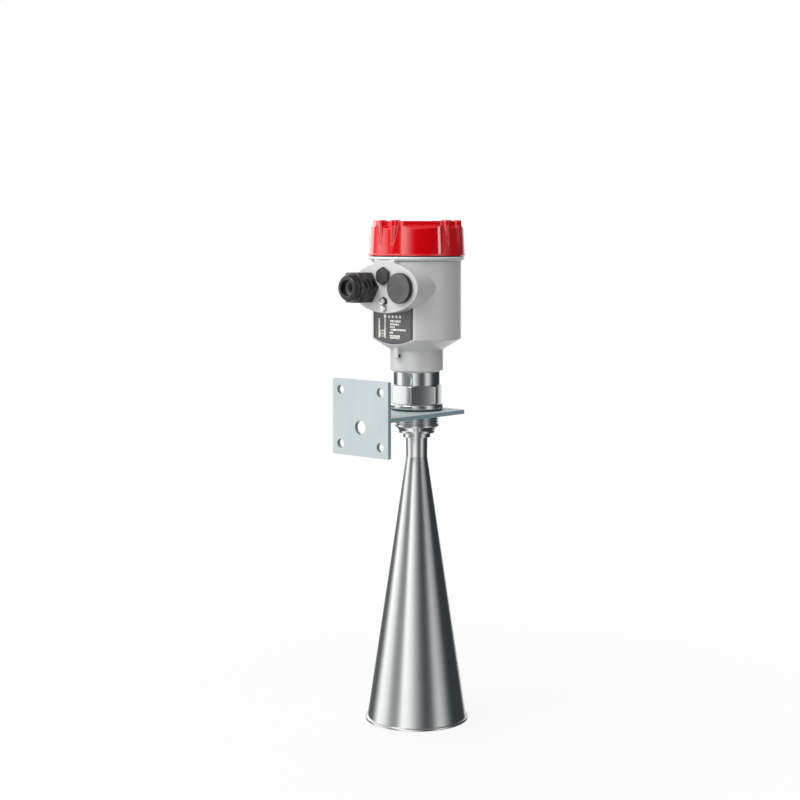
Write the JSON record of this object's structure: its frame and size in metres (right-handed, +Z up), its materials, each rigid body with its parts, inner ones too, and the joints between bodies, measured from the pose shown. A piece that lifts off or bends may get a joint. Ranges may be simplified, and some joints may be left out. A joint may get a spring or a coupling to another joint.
{
  "type": "radar level transmitter",
  "caption": "Radar level transmitter: swivelling cast housing with red screw lid and cable entries, hexagon thread fitting, wall bracket and long conical horn antenna.",
  "frame": {"origin": "on the antenna axis, at the top face of the bracket's shelf, where the process fitting's flat seal lies", "axes": "+Z up along the antenna axis towards the lid; -Y towards the wall plate, the cable entries and the nameplate; +X to the side of the blanking plug"},
  "size_m": [0.0982, 0.1271, 0.4744],
  "materials": {
    "bracket": "zinc-plated and passivated sheet steel, satin",
    "gasket": "dark green fibre and rubber seal, matt",
    "stainless": "turned stainless steel, bright",
    "horn_steel": "polished stainless steel",
    "ptfe": "white fluoropolymer, waxy",
    "brass": "turned brass, satin",
    "black_rubber": "black elastomer, matt",
    "spring_steel": "spring steel, oiled",
    "cast_grey": "light grey powder coat on cast aluminium, fine satin",
    "plate_print": "dark grey printed plate, satin",
    "red_cover": "glossy red coat on a die-cast cover",
    "black_nylon": "black nylon with a soft sheen",
    "grey_seal": "grey elastomer, matt",
    "grey_nylon": "grey nylon",
    "plug_plastic": "dark grey moulded plastic, satin",
    "vent_plastic": "charcoal moulded plastic",
    "screw_steel": "bright nickel-plated steel",
    "dark_screw": "black oxide steel",
    "cup_plastic": "black moulded plastic",
    "board": "green solder-masked laminate",
    "terminal_green": "green moulded plastic"
  },
  "bodies": {
    "process_side": {"mounting_bracket": "bracket", "process_gasket": "gasket", "process_fitting": "stainless", "antenna_horn": "horn_steel", "feed_cone": "ptfe", "waveguide_tube": "brass", "swivel_washer": "ptfe", "swivel_o_ring": "black_rubber", "retaining_ring": "spring_steel"},
    "housing": {"housing": "cast_grey", "nameplate": "plate_print", "gland_base_seal": "black_rubber", "gland_body": "black_nylon", "gland_seal": "grey_seal", "vent_plug": "vent_plastic", "vent_membrane": "ptfe", "electronics_cup": "cup_plastic", "cup_screws": "screw_steel", "rf_launcher": "brass", "rf_board": "board", "lower_pillars": "brass", "upper_pillars": "brass", "main_board": "board", "board_screws": "screw_steel", "cup_cover": "cup_plastic", "terminal_block": "terminal_green", "terminal_screws": "screw_steel"},
    "lid_seal": {"lid_seal": "black_rubber"},
    "lid": {"lid": "red_cover"},
    "thrust_ring": {"gland_thrust_ring": "grey_nylon"},
    "gland_nut": {"gland_nut": "black_nylon"},
    "plug_seal": {"plug_seal": "black_rubber"},
    "plug": {"blanking_plug": "plug_plastic"},
    "ground_clamp": {"ground_clamp": "screw_steel"},
    "ground_screw": {"ground_screw": "screw_steel"},
    "bond_washer": {"bond_washer": "screw_steel"},
    "bond_screw": {"bond_screw": "screw_steel"},
    "lock_pad": {"lock_pad": "brass"},
    "lock_screw": {"lock_screw": "dark_screw"}
  },
  "joints": [
    {"name": "housing_swivel", "type": "hinge", "parent": "process_side", "child": "housing", "pos_m": [0, 0, 0.0377], "axis": [0, 0, 1], "range_deg": [-165, 165]},
    {"name": "lid_lift", "type": "slide", "parent": "housing", "child": "lid_seal", "axis": [0, 0, 1], "range_m": [0, 0.015]},
    {"name": "lid_turn", "type": "hinge", "parent": "lid_seal", "child": "lid", "pos_m": [0, 0, 0.1458], "axis": [0, 0, 1], "range_deg": [0, 1800]},
    {"name": "gland_nut_travel", "type": "slide", "parent": "housing", "child": "thrust_ring", "axis": [0, -1, 0], "range_m": [0, 0.0075]},
    {"name": "gland_nut_turn", "type": "hinge", "parent": "thrust_ring", "child": "gland_nut", "pos_m": [-0.022, -0.0456, 0.1168], "axis": [0, -1, 0], "range_deg": [0, 1800]},
    {"name": "plug_travel", "type": "slide", "parent": "housing", "child": "plug_seal", "axis": [0, -1, 0], "range_m": [0, 0.0075]},
    {"name": "plug_turn", "type": "hinge", "parent": "plug_seal", "child": "plug", "pos_m": [0.022, -0.0456, 0.1168], "axis": [0, -1, 0], "range_deg": [0, 1800]},
    {"name": "ground_clamp_travel", "type": "slide", "parent": "housing", "child": "ground_clamp", "axis": [0, -1, 0], "range_m": [0, 0.0028]},
    {"name": "ground_screw_turn", "type": "hinge", "parent": "ground_clamp", "child": "ground_screw", "pos_m": [0, -0.0456, 0.1042], "axis": [0, -1, 0], "range_deg": [0, 1440.5]},
    {"name": "bond_washer_travel", "type": "slide", "parent": "housing", "child": "bond_washer", "axis": [0, -1, 0], "range_m": [0, 0.0028]},
    {"name": "bond_screw_turn", "type": "hinge", "parent": "bond_washer", "child": "bond_screw", "pos_m": [0, -0.0456, 0.0975], "axis": [0, -1, 0], "range_deg": [0, 1440.5]},
    {"name": "lock_pad_travel", "type": "slide", "parent": "housing", "child": "lock_pad", "axis": [1, 0, 0], "range_m": [-0.00075, 0]},
    {"name": "lock_screw_turn", "type": "hinge", "parent": "lock_pad", "child": "lock_screw", "pos_m": [0.003, -0.0274, 0.0524], "axis": [1, 0, 0], "range_deg": [-540.5, 0]}
  ],
  "couplings": [
    {"joint": "lid_lift", "follows": "lid_turn", "m_per_rad": 0.00047746},
    {"joint": "gland_nut_travel", "follows": "gland_nut_turn", "m_per_rad": 0.00023873},
    {"joint": "plug_travel", "follows": "plug_turn", "m_per_rad": 0.00023873},
    {"joint": "ground_screw_turn", "follows": "ground_clamp_travel", "rad_per_m": 8976},
    {"joint": "bond_screw_turn", "follows": "bond_washer_travel", "rad_per_m": 8976},
    {"joint": "lock_screw_turn", "follows": "lock_pad_travel", "rad_per_m": 12566}
  ]
}
